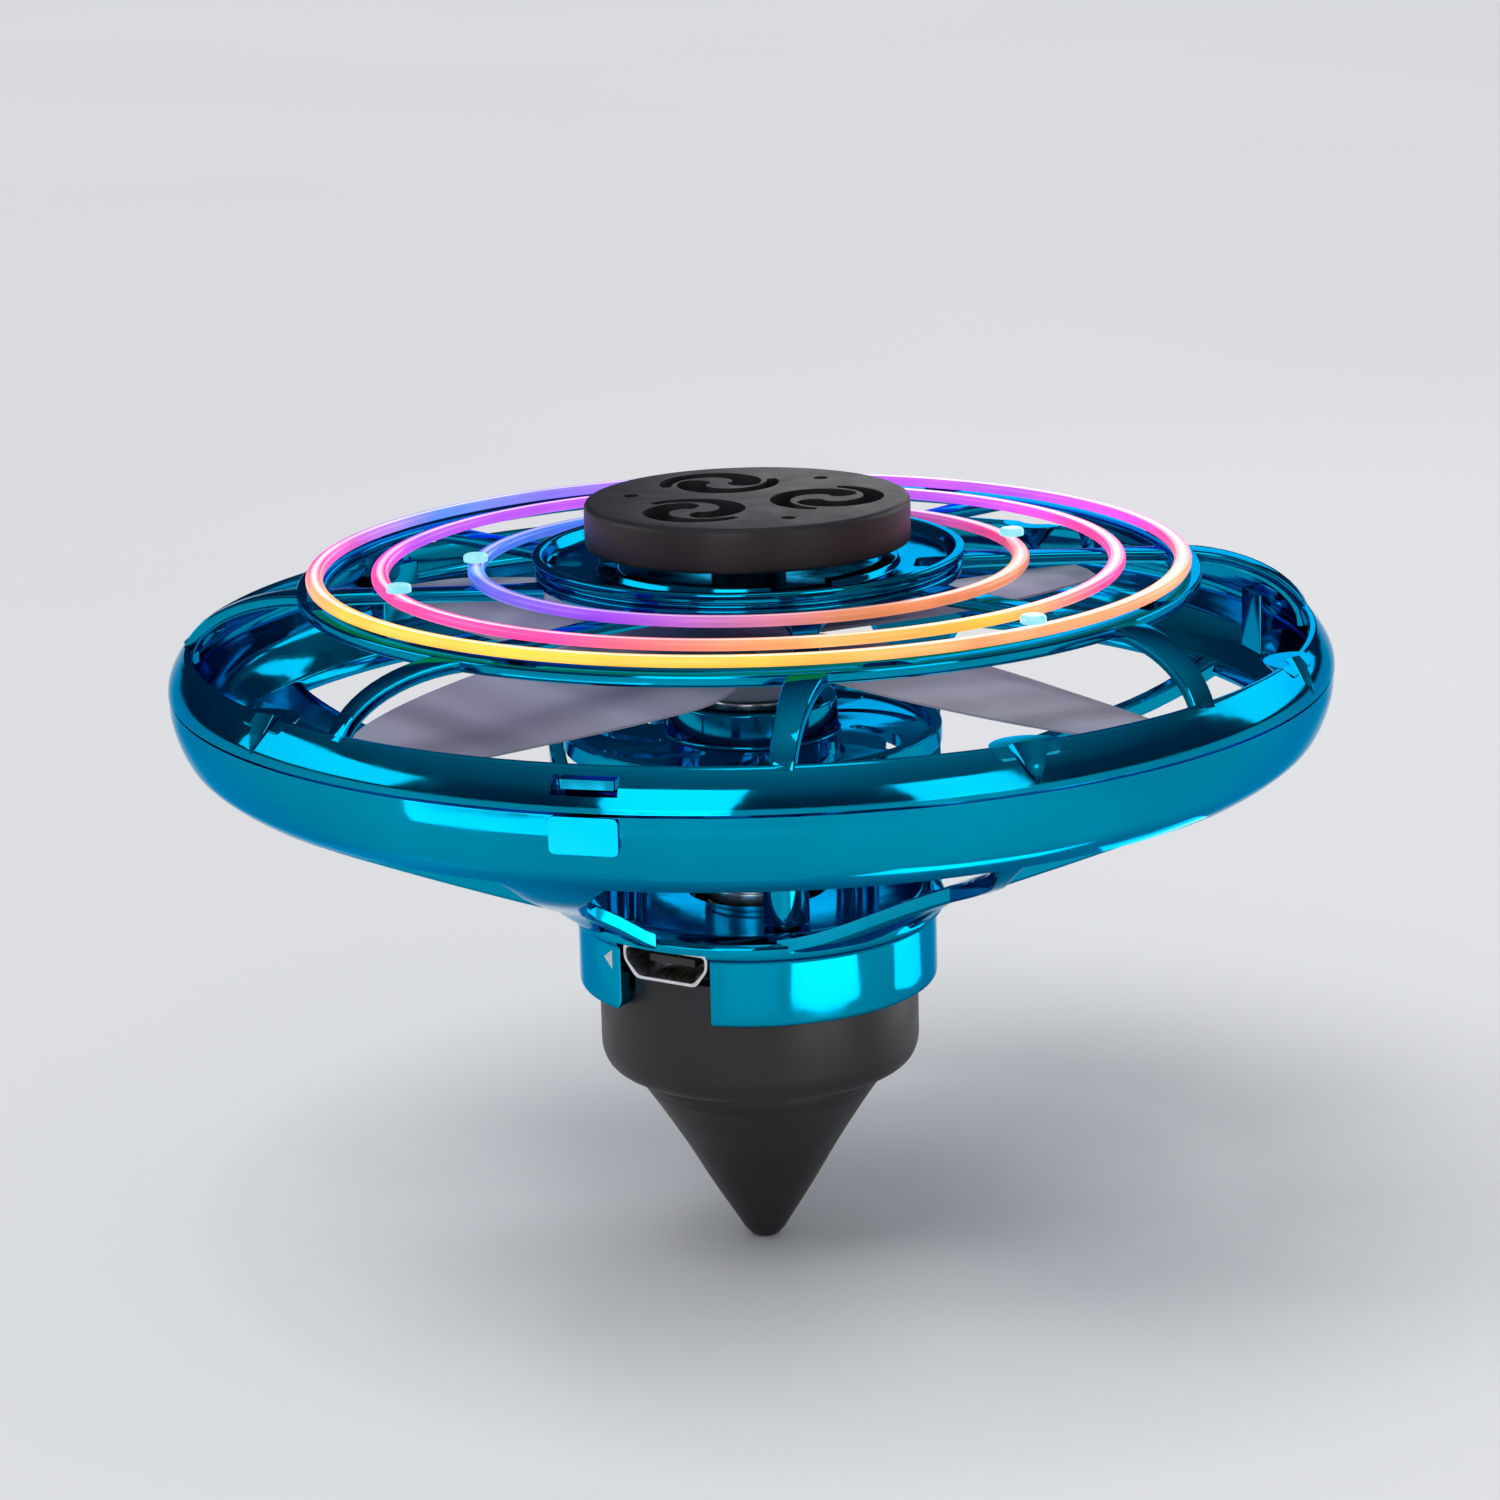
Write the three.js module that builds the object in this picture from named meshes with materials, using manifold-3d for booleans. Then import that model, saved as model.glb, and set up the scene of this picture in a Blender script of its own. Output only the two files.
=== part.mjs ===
// Light up spinning top: a caged propeller between a finger cap and a cone tip.
// Millimetres, +Z up, origin at the point of the cone. Azimuths are degrees from the
// front (-Y) towards +X.
import * as THREE from 'three';
import { mergeVertices } from 'three/addons/utils/BufferGeometryUtils.js';
import Module from 'manifold-3d';

const wasm = await Module();
wasm.setup();

// ---- driving dimensions -------------------------------------------------------------
const GAP = 0.3;                 // clearance kept between touching pieces
const RING_R = 47.5;             // outside radius of the guard ring
const RIM_Z = 53;                // top edge of the ring
const SEAM_Z = 49.7;             // joint between upper and lower guard
const WALL = 1.4;                // moulded wall of the guards
const ARM_COUNT = 8;             // upper arms
const PAIR_COUNT = 4;            // pairs of lower arms
const FOOT_R = 45.7;             // where an upper arm meets the rim
const KNEE_R = 35.8;             // where it bends at the middle ring
const DECK_TOP_Z = 57.5;         // top of the upper arms and middle ring
const UPPER_THICK = 1.0;
const HUB_R = 17.7;              // hub dish
const HUB_TOP_Z = 59.3;
const CAP_R = 13.3;
const CAP_BOTTOM_Z = 59.9;
const CAP_TOP_Z = 63.5;
const STEM_R = 1.35;
const SKIRT_R = 14.9;            // hub skirt of the lower guard
const SKIRT_BOTTOM_Z = 23.05;
const FLANGE_TOP_Z = 30.5;       // floor that carries the motor deck
const FLANGE_THICK = 1.2;
const DECK_R = 15.6;             // slotted motor deck
const DECK_Z = 44;               // its upper face
const DECK_THICK = 1.0;
const BASE_R = 13.28;
const BASE_BOTTOM_Z = 15.5;
const BASE_WALL = 1.2;
const CONE_R = 10.2;
const CONE_TOP_Z = 15.2;
const PORT_AZ = -32;             // azimuth of the charging port
const PORT_Z = 27.6;
const SWITCH_AZ = 192;
const BLADE_COUNT = 4;
const BLADE_AZ = -42;
const BLADE_PITCH = 6;           // degrees
const BLADE_DROOP = 2.9;         // degrees that a blade falls towards its tip
const BLADE_Z = 52;              // a blade's middle plane, carried to the axis
const PROP_BOTTOM_Z = 47.7;
const MOTOR_R = 4.25;
const MOTOR_BOTTOM_Z = 28.2;
const MOTOR_TOP_Z = 47.6;
const LATCH_AZ = [-15, 105, 225];
const FLUTE_AZ = [-53, 25.5, 67, 145.5, 187, 265.5];
const POST_AZ = [12, 132, 252];
const POST_R = 11.2;             // circle of the deck posts
const BASE_SCREW_R = 9.6;        // circle of the base screws
const BASE_SCREW_AZ = [30, 150, 270];
const BOSS_BORE = 1.1;           // bore that a screw passes or bites in
const LIGHT_RINGS = [['outer', 35.3], ['middle', 30], ['inner', 22.2]];
const LIGHT_WIDTH = 1.4;
const LIGHT_HEIGHT = 0.8;
const LED_PLACES = [[37, 35.3], [-67, 30], [-88, 22.2], [101, 22.2]];
const ROUND = 40;                // sides of the large round pieces
const SMALL = 16;                // sides of the small ones

// ---- finishes -----------------------------------------------------------------------
const finish = (color, roughness, metalness) => ({ color, roughness, metalness });
const CHROME_BLUE = finish(0x0b9bd2, 0.12, 1.0);
const BLACK_PLASTIC = finish(0x2a2527, 0.55, 0.0);
const BLADE_GREY = finish(0xa6a0ad, 0.45, 0.0);
const STEEL = finish(0xc9ccd0, 0.25, 1.0);
const PORT_BLACK = finish(0x101012, 0.5, 0.0);
const BOARD_GREEN = finish(0x12603c, 0.5, 0.0);
const BATTERY_SILVER = finish(0xb9bcc2, 0.35, 0.6);
const RUBBER = finish(0x1b1b1d, 0.8, 0.0);
const BRASS = finish(0xb58b3c, 0.35, 1.0);
const NYLON = finish(0xe8e6df, 0.5, 0.0);
const WIRE_RED = finish(0xb3201c, 0.5, 0.0);
const WIRE_BLACK = finish(0x161616, 0.5, 0.0);
const LIGHT_COLORS = { outer: 0xff9ad0, middle: 0xd77bff, inner: 0x9ab8ff };

// ---- helpers ------------------------------------------------------------------------
const rad = THREE.MathUtils.degToRad;

function solidOf(geometry) {
  const bare = geometry.clone();
  bare.deleteAttribute('normal');
  bare.deleteAttribute('uv');
  const merged = mergeVertices(bare, 1e-4);
  const corner = merged.index.array;
  const faces = [];
  for (let i = 0; i < corner.length; i += 3) {
    const [a, b, c] = [corner[i], corner[i + 1], corner[i + 2]];
    if (a !== b && b !== c && c !== a) faces.push(a, b, c);
  }
  const vertProperties = new Float32Array(merged.attributes.position.array);
  const build = (list) => new wasm.Manifold(new wasm.Mesh({
    numProp: 3, vertProperties, triVerts: new Uint32Array(list),
  }));
  const solid = build(faces);
  if (solid.volume() > 0) return solid;
  return build(faces.reverse());
}

function geometryOf(solid) {
  const mesh = solid.getMesh();
  const geometry = new THREE.BufferGeometry();
  geometry.setAttribute('position', new THREE.BufferAttribute(mesh.vertProperties, 3));
  geometry.setIndex(new THREE.BufferAttribute(mesh.triVerts, 1));
  geometry.computeVertexNormals();
  return geometry;
}

const group = new THREE.Group();

function piece(name, solid, look) {
  const mesh = new THREE.Mesh(geometryOf(solid), new THREE.MeshStandardMaterial(look));
  mesh.name = name;
  group.add(mesh);
}

// Solid of revolution about Z from (radius, z) points; a profile off the axis is closed.
function turned(profile, sides = ROUND) {
  const points = profile.map(([r, z]) => new THREE.Vector2(r, z));
  if (profile[0][0] > 0) points.push(points[0].clone());
  return solidOf(new THREE.LatheGeometry(points, sides).rotateX(Math.PI / 2));
}

const tube = (outer, inner, z0, z1, sides = ROUND) => turned(
  [[inner, z0], [outer, z0], [outer, z1], [inner, z1]], sides);

const disc = (r, z0, z1, sides = ROUND) => turned([[0, z0], [r, z0], [r, z1], [0, z1]], sides);

function box(x0, x1, y0, y1, z0, z1) {
  const size = new THREE.BoxGeometry(x1 - x0, y1 - y0, z1 - z0);
  return solidOf(size.translate((x0 + x1) / 2, (y0 + y1) / 2, (z0 + z1) / 2));
}

// Flat outline in X and Y, raised from z0 to z1.
function slab(shape, z0, z1, curveSegments = 3) {
  const raised = new THREE.ExtrudeGeometry(shape, { depth: z1 - z0, bevelEnabled: false, curveSegments });
  return solidOf(raised.translate(0, 0, z0));
}

const outline = (points) => new THREE.Shape(points.map(([x, y]) => new THREE.Vector2(x, y)));

// Round-ended slot along an arc about the origin.
function arcSlot(radius, width, start, end) {
  const half = width / 2;
  const at = (r, a) => [r * Math.cos(rad(a)), r * Math.sin(rad(a))];
  const shape = new THREE.Shape();
  shape.absarc(0, 0, radius + half, rad(start), rad(end), false);
  shape.absarc(...at(radius, end), half, rad(end), rad(end + 180), false);
  shape.absarc(0, 0, radius - half, rad(end), rad(start), true);
  shape.absarc(...at(radius, start), half, rad(start + 180), rad(start + 360), false);
  return shape;
}

// A piece modelled at the front (-Y) is turned to its azimuth about Z.
const turn = (solid, azimuth) => solid.rotate([0, 0, azimuth]);
const around = (solid, azimuths) => azimuths.map((azimuth) => turn(solid, azimuth));
const evenly = (count, first = 0) => Array.from({ length: count }, (_, i) => first + (360 / count) * i);
const join = (...solids) => solids.flat().reduce((a, b) => a.add(b));
const cut = (solid, ...tools) => solid.subtract(join(...tools));

// ---- upper guard --------------------------------------------------------------------
function upperArm() {
  const knee = new THREE.Vector2(4.2, -KNEE_R);
  const foot = new THREE.Vector2(2.0, -FOOT_R);
  const reach = knee.distanceTo(foot);
  const footZ = RIM_Z - 1.6;
  const width = 2.0;
  // Side view of the outer run: a convex quarter of an ellipse from knee to foot.
  const rise = DECK_TOP_Z - footZ;
  const side = new THREE.Shape();
  side.absellipse(0, footZ, reach, rise, Math.PI / 2, 0, true);
  side.absellipse(0, footZ, reach - 1.2, rise - UPPER_THICK, 0, Math.PI / 2, false);
  const profile = new THREE.ExtrudeGeometry(side, { depth: width, bevelEnabled: false, curveSegments: 4 });
  const heading = Math.atan2(foot.y - knee.y, foot.x - knee.x);
  profile.translate(0, 0, -width / 2).rotateX(Math.PI / 2).rotateZ(heading).translate(knee.x, knee.y, 0);
  const inner = box(knee.x - width / 2, knee.x + width / 2, -KNEE_R - 0.4, -HUB_R + 1.4,
    DECK_TOP_Z - UPPER_THICK, DECK_TOP_Z);
  return join(solidOf(profile), inner);
}

function flute(radius, inset) {
  const cone = new THREE.ConeGeometry(radius, 3, 8).rotateX(-Math.PI / 2);
  return solidOf(cone.translate(0, -RING_R + 0.6 + inset, RIM_Z - 1.2 - inset / 2));
}

function upperGuard() {
  const bottom = SEAM_Z + GAP / 2;
  const ring = turned([
    [RING_R - WALL, bottom], [RING_R - 0.1, bottom], [RING_R, 50.3], [47.35, 51.3],
    [46.95, 52.3], [46.2, RIM_Z], [45.2, RIM_Z], [45.35, 52.1], [45.8, 51.0],
  ]);
  const middle = tube(KNEE_R + 1.0, KNEE_R - 1.4, DECK_TOP_Z - UPPER_THICK, DECK_TOP_Z);
  const dish = turned([
    [3.3, 54.6], [4.6, 54.6], [4.6, 56.9], [HUB_R - 1.2, 56.9], [HUB_R, 57.1], [HUB_R, HUB_TOP_Z],
    [HUB_R - 1.2, HUB_TOP_Z], [HUB_R - 1.2, 58.0], [3.3, 58.0],
  ]);
  const arms = around(upperArm(), evenly(ARM_COUNT));
  const ringRoom = turned([[0, 48], [RING_R, 48], [47, 52], [46, RIM_Z], [46, 60], [0, 60]]);
  const fluteBack = join(around(flute(2.9, 0.5), FLUTE_AZ)).intersect(ringRoom);
  const latch = box(-2.55, 2.55, -RING_R - 1, -43.8, 50.9, 52.3);
  const body = join(ring, middle, dish, join(arms).intersect(ringRoom), fluteBack);
  return cut(body, around(flute(2.0, -0.3), FLUTE_AZ), around(latch, LATCH_AZ));
}
piece('upper_guard', upperGuard(), CHROME_BLUE);

// ---- lower guard --------------------------------------------------------------------
function lowerGuard() {
  const top = SEAM_Z - GAP / 2;
  const ring = turned([
    [46.0, top], [RING_R - 0.1, top], [47.35, 48.2], [46.95, 46.6], [46.2, 45.0], [45.0, 43.8],
    [44.0, 44.8], [44.9, 45.9], [45.6, 47.4],
  ]);
  const bowl = turned([
    [46.2, 45.0], [44, 43], [38.5, 39.9], [28.5, 36], [20.0, 32.6], [SKIRT_R, 28.7],
    [SKIRT_R - 1, 30.2], [19.6, 34.1], [28, 37.5], [38, 41.4], [43.2, 44.4], [45.1, 46.0],
  ]);
  // The arms are strips of the bowl in four pairs: a wide one that flares into the ring and a
  // narrow one, which lean together towards the hub.
  const wide = slab(outline([
    [-20.5, -41.2], [-10, -45.2], [-12.9, -35.5], [-12.6, -8.5], [-12, -1.5],
    [-15.2, -1.5], [-15.9, -5], [-16.3, -10], [-16.9, -33.2],
  ]), 26, 48);
  const narrow = slab(outline([
    [17.9, -42], [20.2, -41.2], [17.4, -16.6], [13.4, -8], [11.6, -9.2], [15.6, -17],
  ]), 26, 48);
  const strips = [wide, narrow].flatMap((strip) => around(strip, evenly(PAIR_COUNT)));
  const arms = strips.map((strip) => bowl.intersect(strip));
  const flange = tube(SKIRT_R, 5.6, FLANGE_TOP_Z - FLANGE_THICK, FLANGE_TOP_Z);
  const collar = tube(SKIRT_R + 0.9, SKIRT_R - 0.8, 28.7, 30.6);
  const skirt = tube(SKIRT_R, SKIRT_R - WALL, SKIRT_BOTTOM_Z, FLANGE_TOP_Z - 0.2);
  const hook = join(
    box(-2.1, 2.1, -46.0, -43.9, 47.0, 49.0),
    box(-2.1, 2.1, -45.0, -43.9, 47.0, 52.0),
    box(-2.1, 2.1, -46.3, -43.9, 51.2, 52.0),
  );
  const pad = box(-2.6, 2.6, -47.6, -46.2, 46.7, top);
  const portWindow = turn(box(-4.4, 4.4, -16, -9.2, SKIRT_BOTTOM_Z - 1, 29.25), PORT_AZ);
  const switchWindow = turn(box(-3.2, 3.2, -16, -13, 26.0, 28.4), SWITCH_AZ);
  const screwHole = disc(1.2, 27, 32, SMALL).translate([0, -POST_R, 0]);
  const boss = cut(disc(1.7, 24.9, FLANGE_TOP_Z - 0.2, 12), disc(BOSS_BORE, 24, 29, 12));
  const bosses = around(boss.translate([0, -BASE_SCREW_R, 0]), BASE_SCREW_AZ);
  const body = join(ring, arms, flange, collar, skirt, around(hook, LATCH_AZ), around(pad, LATCH_AZ));
  return join(cut(body, portWindow, switchWindow, around(screwHole, POST_AZ)), bosses);
}
piece('lower_guard', lowerGuard(), CHROME_BLUE);

// ---- motor deck ---------------------------------------------------------------------
function motorDeck() {
  const bottom = DECK_Z - DECK_THICK;
  const plate = tube(DECK_R, 5.6, bottom, DECK_Z);
  const lip = tube(DECK_R, DECK_R - 1, bottom, DECK_Z + 0.6);
  const sleeve = tube(7.0, 5.6, 38.5, 47.0);
  const post = disc(1.9, FLANGE_TOP_Z + GAP, bottom + 0.2, 12);
  const bore = disc(BOSS_BORE, FLANGE_TOP_Z, 36, 12);
  // Curved vents sweep outward from the sleeve.
  const vent = slab(arcSlot(6.5, 1.3, 34, 104), bottom - 1, DECK_Z + 1).translate([7.4, 0, 0]);
  const posts = around(join(post).translate([0, -POST_R, 0]), POST_AZ);
  const bores = around(bore.translate([0, -POST_R, 0]), POST_AZ);
  const vents = around(vent.intersect(tube(14, 7.9, 40, 46)), evenly(9, 32));
  return cut(join(cut(join(plate, lip, sleeve), vents), posts), bores);
}
piece('motor_deck', motorDeck(), CHROME_BLUE);

// ---- finger cap group ---------------------------------------------------------------
function fingerCap() {
  const shell = turned([
    [1.65, 60.2], [2.7, 60.2], [2.7, 62.2], [CAP_R - 1.2, 62.2], [CAP_R - 1.2, CAP_BOTTOM_Z],
    [CAP_R, CAP_BOTTOM_Z], [CAP_R, CAP_TOP_Z - 0.4], [CAP_R - 0.4, CAP_TOP_Z], [0, CAP_TOP_Z],
    [0, 62.5], [1.65, 62.5], [1.65, 60.2],
  ].reverse());
  const z0 = 61.9;
  const z1 = CAP_TOP_Z + 0.5;
  const outerComma = slab(arcSlot(9.6, 1.5, 0, 62), z0, z1);
  const crook = slab(arcSlot(2.4, 1.4, 130, 262), z0, z1).translate([6.3, 5.2, 0]);
  const innerComma = slab(arcSlot(5.2, 1.5, -48, 8), z0, z1);
  const eye = disc(0.55, z0, z1, 10).translate([9.9 * Math.cos(rad(82)), 9.9 * Math.sin(rad(82)), 0]);
  return cut(shell, around(join(outerComma, crook, innerComma, eye), evenly(3, 20)));
}
piece('finger_cap', fingerCap(), BLACK_PLASTIC);
piece('cap_stem', disc(STEM_R, 54.6, 62.2, SMALL), STEEL);
piece('cap_bush', tube(3.0, STEM_R + GAP, 54.9, 59.4, SMALL), BLACK_PLASTIC);
piece('cap_retainer', disc(3.0, 53.3, 54.3, SMALL), STEEL);

// ---- propeller and motor ------------------------------------------------------------
function propeller() {
  const plan = outline([
    [3, -4], [12, -8], [20, -9], [30, -8.4], [38, -6.4], [42.4, -2], [41.6, 1.5], [36, 4.2],
    [30, 5.8], [20, 8.1], [13, 8.6], [3, 4.5],
  ]);
  const blade = slab(plan, -0.4, 0.4).rotate([-BLADE_PITCH, BLADE_DROOP, 0]);
  const blades = around(blade.translate([0, 0, BLADE_Z]).rotate([0, 0, -90]), evenly(BLADE_COUNT, BLADE_AZ));
  const hub = disc(6, PROP_BOTTOM_Z, 52.4, 24);
  const bore = disc(0.9, PROP_BOTTOM_Z - 1, 51.6, 12);
  const recess = disc(2.4, PROP_BOTTOM_Z - 1, 48.4, SMALL);
  return cut(join(hub, blades), bore, recess);
}
piece('propeller', propeller(), BLADE_GREY);
piece('motor_shaft', disc(0.6, 46.2, 51.3, 12), STEEL);

function motorCan() {
  const can = disc(MOTOR_R, MOTOR_BOTTOM_Z + 1.6, MOTOR_TOP_Z - 0.2, SMALL);
  const nose = disc(1.6, MOTOR_TOP_Z - 0.3, MOTOR_TOP_Z + 0.4, SMALL);
  return cut(join(can, nose), disc(0.9, 45.9, 49, 12));
}
piece('motor_can', motorCan(), STEEL);
piece('motor_end_cap', disc(MOTOR_R - 0.2, MOTOR_BOTTOM_Z, MOTOR_BOTTOM_Z + 1.3, SMALL), NYLON);
piece('motor_sleeve', tube(5.3, MOTOR_R + GAP, 39, 46.4, SMALL), RUBBER);

// ---- electronics --------------------------------------------------------------------
const BOARD_TOP_Z = 26.2;
const BOARD_R = 11.7;

function mainBoard() {
  const plate = disc(BOARD_R, BOARD_TOP_Z - 1, BOARD_TOP_Z, 36);
  const screwNotch = disc(2.1, 20, 30, 12).translate([0, -BASE_SCREW_R, 0]);
  const wireNotch = box(-2.5, 2.5, -13, -9.4, 20, 30);
  return cut(plate, around(screwNotch, BASE_SCREW_AZ), turn(wireNotch, 75));
}
piece('main_board', mainBoard(), BOARD_GREEN);

// Port mouth: a flat oval with the lower corners drawn in.
function portOutline(inset) {
  const w = 3.8 - inset;
  const top = 1.35 - inset;
  const low = -1.15 + inset;
  return outline([[-w, top], [-w, 0.1], [-w + 1.1, low], [w - 1.1, low], [w, 0.1], [w, top]]);
}

function upright(shape, depth, front) {
  const raised = new THREE.ExtrudeGeometry(shape, { depth, bevelEnabled: false });
  return solidOf(raised.rotateX(Math.PI / 2).translate(0, front + depth, PORT_Z));
}

function usbShell() {
  const body = upright(portOutline(0), 5.2, -14.2);
  const hollow = upright(portOutline(0.35), 4.6, -14.5);
  return turn(cut(body, hollow), PORT_AZ);
}
piece('usb_shell', usbShell(), STEEL);
piece('usb_tongue', turn(box(-2.2, 2.2, -13.2, -9.9, PORT_Z - 0.1, PORT_Z + 0.5), PORT_AZ), PORT_BLACK);

piece('switch_body', turn(box(-3.0, 3.0, -11.4, -8.2, BOARD_TOP_Z + GAP, 28.3), SWITCH_AZ), PORT_BLACK);
const slider = box(-1.9, 0.1, -15.4, -11.7, 26.7, 27.9);
piece('switch_slider', turn(slider, SWITCH_AZ), BLACK_PLASTIC);
piece('control_chip', box(4.2, 9.0, -2.4, 2.4, BOARD_TOP_Z + GAP, BOARD_TOP_Z + 1.5), PORT_BLACK);
piece('battery', box(-6.7, 8.3, -5.5, 5.5, 19.3, 24.6), BATTERY_SILVER);

function wire(points) {
  const curve = new THREE.CatmullRomCurve3(points.map((p) => new THREE.Vector3(...p)));
  const section = new THREE.Shape();
  section.absarc(0, 0, 0.4, 0, 2 * Math.PI, false);
  const options = { steps: 8, extrudePath: curve, curveSegments: 3 };
  return solidOf(new THREE.ExtrudeGeometry(section, options));
}
for (const [side, look, name] of [[-1, WIRE_RED, 'red'], [1, WIRE_BLACK, 'black']]) {
  const motor = [[1.4 * side, 1, 27.9], [1.6 * side, 1.6, 27.3], [1.6 * side, 3.4, 27.0],
    [1.6 * side, 4.4, BOARD_TOP_Z + GAP]];
  piece(`motor_wire_${name}`, wire(motor), look);
  const y = -2.6 - 1.2 * (side + 1) / 2;
  const battery = [[8.7, y, 22.6], [9.8, y, 23.4], [10.8, y, 25.2], [10.4, y, 27.2],
    [9.6, y, BOARD_TOP_Z + 0.7]];
  piece(`battery_wire_${name}`, wire(battery), look);
}

// ---- base, tip and fasteners --------------------------------------------------------
function baseCover() {
  const inner = BASE_R - BASE_WALL;
  const cup = turned([
    [3.0, BASE_BOTTOM_Z], [11.6, BASE_BOTTOM_Z], [12.7, 16.0], [BASE_R, 17.2], [BASE_R, 24.6],
    [inner, 24.6], [inner, 17.6], [11.4, 16.9], [3.0, 16.9],
  ]);
  const tongue = tube(BASE_R, inner, 24.4, BOARD_TOP_Z - 0.2)
    .intersect(turn(box(-4.0, 4.0, -16, -8, 20, 30), PORT_AZ));
  const boss = disc(2.4, 16.0, 24.6, 16).translate([0, -BASE_SCREW_R, 0]);
  const sink = join(disc(1.8, 15, 17.2, 16), disc(BOSS_BORE, 17, 25, 16)).translate([0, -BASE_SCREW_R, 0]);
  return cut(join(cup, tongue, around(boss, BASE_SCREW_AZ)), around(sink, BASE_SCREW_AZ));
}
piece('base_cover', baseCover(), BLACK_PLASTIC);
piece('tip_bush', turned([[1.3, 15.6], [2.7, 15.6], [2.7, 17.2], [3.4, 17.2], [3.4, 17.8], [1.3, 17.8]], SMALL),
  BRASS);

function spinningTip() {
  const cone = turned([
    [0, 0], [1.1, 0], [2.0, 1.2], [4.3, 5.7], [8.8, 12.5], [10.0, 14.3], [CONE_R, CONE_TOP_Z], [0, CONE_TOP_Z],
  ], 32);
  return cut(cone, disc(1.3, 8, 16, SMALL));
}
piece('spinning_tip', spinningTip(), BLACK_PLASTIC);
piece('tip_spindle', join(disc(1.0, 8.6, 18.3, SMALL), disc(2.2, 18.1, 18.9, SMALL)), STEEL);

function screw(headZ, tipZ) {
  return join(disc(1.6, headZ - 0.8, headZ, 12), disc(0.8, headZ - 0.1, tipZ, 12));
}
POST_AZ.forEach((azimuth, i) => {
  const fastener = screw(FLANGE_TOP_Z - FLANGE_THICK - GAP, 35).translate([0, -POST_R, 0]);
  piece(`deck_screw_${i + 1}`, turn(fastener, azimuth), STEEL);
});
BASE_SCREW_AZ.forEach((azimuth, i) => {
  const fastener = screw(BASE_BOTTOM_Z + 1.4, 28).translate([0, -BASE_SCREW_R, 0]);
  piece(`base_screw_${i + 1}`, turn(fastener, azimuth), STEEL);
});

// ---- lights -------------------------------------------------------------------------
const LIGHT_Z = DECK_TOP_Z + GAP;
for (const [name, radius] of LIGHT_RINGS) {
  const ring = tube(radius + LIGHT_WIDTH / 2, radius - LIGHT_WIDTH / 2, LIGHT_Z, LIGHT_Z + LIGHT_HEIGHT);
  piece(`light_ring_${name}`, ring, finish(LIGHT_COLORS[name], 0.2, 0.0));
}
LED_PLACES.forEach(([azimuth, radius], i) => {
  const bottom = LIGHT_Z + LIGHT_HEIGHT + GAP;
  const lens = disc(1.0, bottom, bottom + 0.6, 12).translate([0, -radius, 0]);
  piece(`led_${i + 1}`, turn(lens, azimuth), finish(0xf4fbff, 0.15, 0.0));
});

export default group;
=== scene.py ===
"""Looks of the light up spinning top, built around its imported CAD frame.

Shapes are worked out in millimetres in the frame's own axes (+Z up, origin at the cone's
point) and written in metres. Azimuths are degrees from the front (-Y) towards +X.
"""
import math

import bmesh
import bpy
from mathutils import Matrix, Vector


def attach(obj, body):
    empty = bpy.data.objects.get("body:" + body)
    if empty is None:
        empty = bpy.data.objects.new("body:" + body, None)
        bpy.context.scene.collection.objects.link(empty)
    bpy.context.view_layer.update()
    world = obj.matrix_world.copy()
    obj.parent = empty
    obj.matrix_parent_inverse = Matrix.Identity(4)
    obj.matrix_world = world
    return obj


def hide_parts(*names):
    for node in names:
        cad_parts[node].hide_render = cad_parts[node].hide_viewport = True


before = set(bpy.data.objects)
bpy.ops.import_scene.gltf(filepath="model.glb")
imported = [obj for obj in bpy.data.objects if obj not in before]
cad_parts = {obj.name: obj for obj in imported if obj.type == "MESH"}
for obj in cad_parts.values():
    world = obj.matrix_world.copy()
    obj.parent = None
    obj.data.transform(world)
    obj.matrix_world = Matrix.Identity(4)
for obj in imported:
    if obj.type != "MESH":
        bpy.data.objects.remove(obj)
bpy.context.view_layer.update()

MM = 0.001

# ---- sizes shared with the frame, in millimetres ------------------------------------------
RING_R = 47.48
RIM_Z = 53.0
SEAM_Z = 49.7
HALF_SEAM = 0.13
FOOT_R = 45.7
KNEE_R = 35.8
DECK_TOP_Z = 57.5
HUB_R = 17.7
HUB_TOP_Z = 59.3
CAP_R = 13.3
CAP_BOTTOM_Z = 59.9
CAP_TOP_Z = 63.5
SKIRT_R = 14.9
SKIRT_BOTTOM_Z = 23.05
FLANGE_TOP_Z = 30.5
DECK_R = 15.6
DECK_Z = 44.0
BASE_R = 13.28
BASE_BOTTOM_Z = 15.5
CONE_TOP_Z = 15.2
PORT_AZ = -32
PORT_Z = 27.6
SWITCH_AZ = 192
LATCH_AZ = [-15, 105, 225]
FLUTE_AZ = [-53, 25.5, 67, 145.5, 187, 265.5]
POST_AZ = [12, 132, 252]
POST_R = 11.2
BASE_SCREW_AZ = [30, 150, 270]
BASE_SCREW_R = 9.6
BLADE_AZ = -42
BLADE_Z = 52.0                  # a blade's middle plane, carried to the axis
BLADE_FALL = 0.0507             # how much it drops for each millimetre outward
BLADE_PITCH = 6
EIGHTHS = [45 * k for k in range(8)]
QUARTERS = [90 * k for k in range(4)]
LIGHT_Z = DECK_TOP_Z + 0.3
LIGHT_HEIGHT = 0.8
LIGHT_WIDTH = 1.4
LIGHT_RINGS = {"outer": 35.3, "middle": 30.0, "inner": 22.2}
LED_PLACES = [(37, 35.3), (-67, 30.0), (-88, 22.2), (101, 22.2)]
FINE = 192                      # steps round the large turned pieces
ROUND = 96
SMALL = 40


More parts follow.
